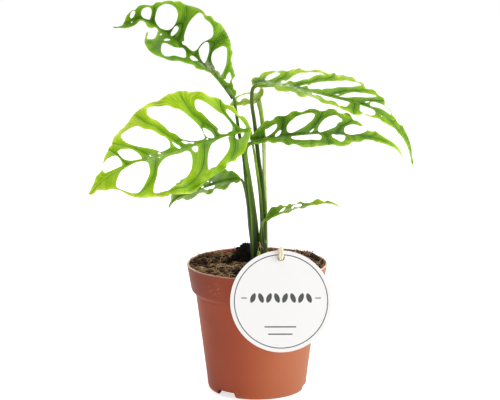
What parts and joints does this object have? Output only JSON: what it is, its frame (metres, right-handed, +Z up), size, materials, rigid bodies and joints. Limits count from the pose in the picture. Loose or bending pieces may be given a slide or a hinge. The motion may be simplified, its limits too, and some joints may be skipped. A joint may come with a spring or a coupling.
{
  "type": "potted monstera obliqua",
  "caption": "Young potted climbing plant with thin leaves full of large holes, in a tapered terracotta plastic pot with a round blank card tag tied to its stems.",
  "frame": {"origin": "middle of the flat pad under the pot, on the surface that the pot stands on", "axes": "+Z up along the pot's axis and the plant's height, -Y towards the viewer and the tag, +X to the viewer's right"},
  "size_m": [0.2764, 0.1409, 0.3305],
  "materials": {
    "terracotta_plastic": "satin terracotta nursery plastic with fine scuffs",
    "potting_mix": "loose dark peat with brown coir fibre",
    "stem_green": "smooth dark green stalk",
    "stem_light_green": "smooth fresh green stalk",
    "shoot_green": "bright young shoot",
    "leaf_green": "thin glossy leaf, mid green",
    "leaf_bright_green": "thin leaf, bright yellow green with darker veins",
    "leaf_dark_green": "thin glossy leaf, deep green",
    "leaf_pale_green": "thin leaf, green with paler underside",
    "white_card": "matte white card with a thin printed ring",
    "cream_twine": "soft undyed cotton twine"
  },
  "bodies": {
    "root": {"pot": "terracotta_plastic", "soil": "potting_mix", "stem_left": "stem_green", "stem_right": "stem_light_green", "new_shoot": "shoot_green", "leaf_upper_left": "leaf_green", "leaf_big_left": "leaf_bright_green", "leaf_middle_right": "leaf_dark_green", "leaf_upper_right": "leaf_pale_green", "leaf_lower_left": "leaf_dark_green", "leaf_lower_right": "leaf_green", "leaf_back": "leaf_pale_green", "tag": "white_card", "tag_string": "cream_twine"}
  },
  "joints": []
}
